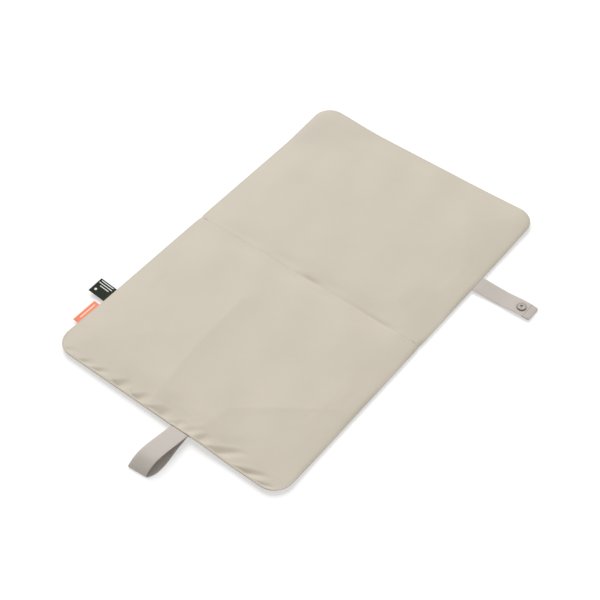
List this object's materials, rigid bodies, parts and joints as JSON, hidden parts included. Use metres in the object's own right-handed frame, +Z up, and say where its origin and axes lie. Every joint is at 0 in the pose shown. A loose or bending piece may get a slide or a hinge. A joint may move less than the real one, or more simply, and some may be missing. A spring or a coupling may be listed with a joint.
{
  "type": "folding changing pad",
  "caption": "Thin padded travel changing pad that folds in two, with a snap closure strap, a webbing carry loop and two edge labels.",
  "frame": {"origin": "on the underside, in the middle of the fold line, where the pad rests on the floor", "axes": "+X to the long edge with the closure strap, +Y along the pad to the half with the strap, +Z up"},
  "size_m": [0.5895, 0.7836, 0.0187],
  "materials": {
    "cover_cloth": "satin",
    "wadding": "matte",
    "thread": "satin",
    "webbing": "matte",
    "care_label_satin": "satin",
    "side_tag_cloth": "satin",
    "label_end_cloth": "satin",
    "snap_metal": "satin",
    "spring_steel": "satin"
  },
  "bodies": {
    "strap_half": {"top_cover_strap_half": "cover_cloth", "bottom_cover_strap_half": "cover_cloth", "wadding_strap_half": "wadding", "edge_stitching_strap_half": "thread", "fold_stitching": "thread", "fold_bar_tacks": "thread", "closure_strap_seam_end": "webbing"},
    "loop_half": {"top_cover_loop_half": "cover_cloth", "bottom_cover_loop_half": "cover_cloth", "wadding_loop_half": "wadding", "edge_stitching_loop_half": "thread", "snap_stud": "snap_metal", "stud_rivet": "spring_steel", "stud_backing_patch": "webbing", "carry_loop_seam_ends": "webbing", "label_seam_ends": "label_end_cloth"},
    "strap_base": {"closure_strap_base": "webbing"},
    "strap_end": {"closure_strap_end": "webbing", "strap_end_stitching": "thread", "snap_socket": "snap_metal", "snap_spring": "spring_steel", "snap_cap": "snap_metal"},
    "carry_loop": {"carry_loop": "webbing"},
    "care_label": {"care_label": "care_label_satin"},
    "side_tag": {"side_tag": "side_tag_cloth"}
  },
  "joints": [
    {"name": "centre_fold", "type": "hinge", "parent": "strap_half", "child": "loop_half", "pos_m": [0, 0, 0.01015], "axis": [-1, 0, 0], "range_deg": [0, 180]},
    {"name": "strap_root_bend", "type": "hinge", "parent": "strap_half", "child": "strap_base", "pos_m": [0.226, 0.1615, 0.0045], "axis": [0, -1, 0], "range_deg": [0, 90]},
    {"name": "strap_wrap_bend", "type": "hinge", "parent": "strap_base", "child": "strap_end", "pos_m": [0.24215, 0.1625, 0.00515], "axis": [0, -1, 0], "range_deg": [0, 90]},
    {"name": "loop_swing", "type": "hinge", "parent": "loop_half", "child": "carry_loop", "pos_m": [0.036, -0.3505, 0.006], "axis": [1, 0, 0], "range_deg": [-120, 0]},
    {"name": "care_label_flip", "type": "hinge", "parent": "loop_half", "child": "care_label", "pos_m": [-0.2255, -0.2215, 0.0055], "axis": [0, -1, 0], "range_deg": [-120, 0]},
    {"name": "side_tag_flip", "type": "hinge", "parent": "loop_half", "child": "side_tag", "pos_m": [-0.2255, -0.27, 0.0055], "axis": [0, -1, 0], "range_deg": [-120, 0]}
  ]
}
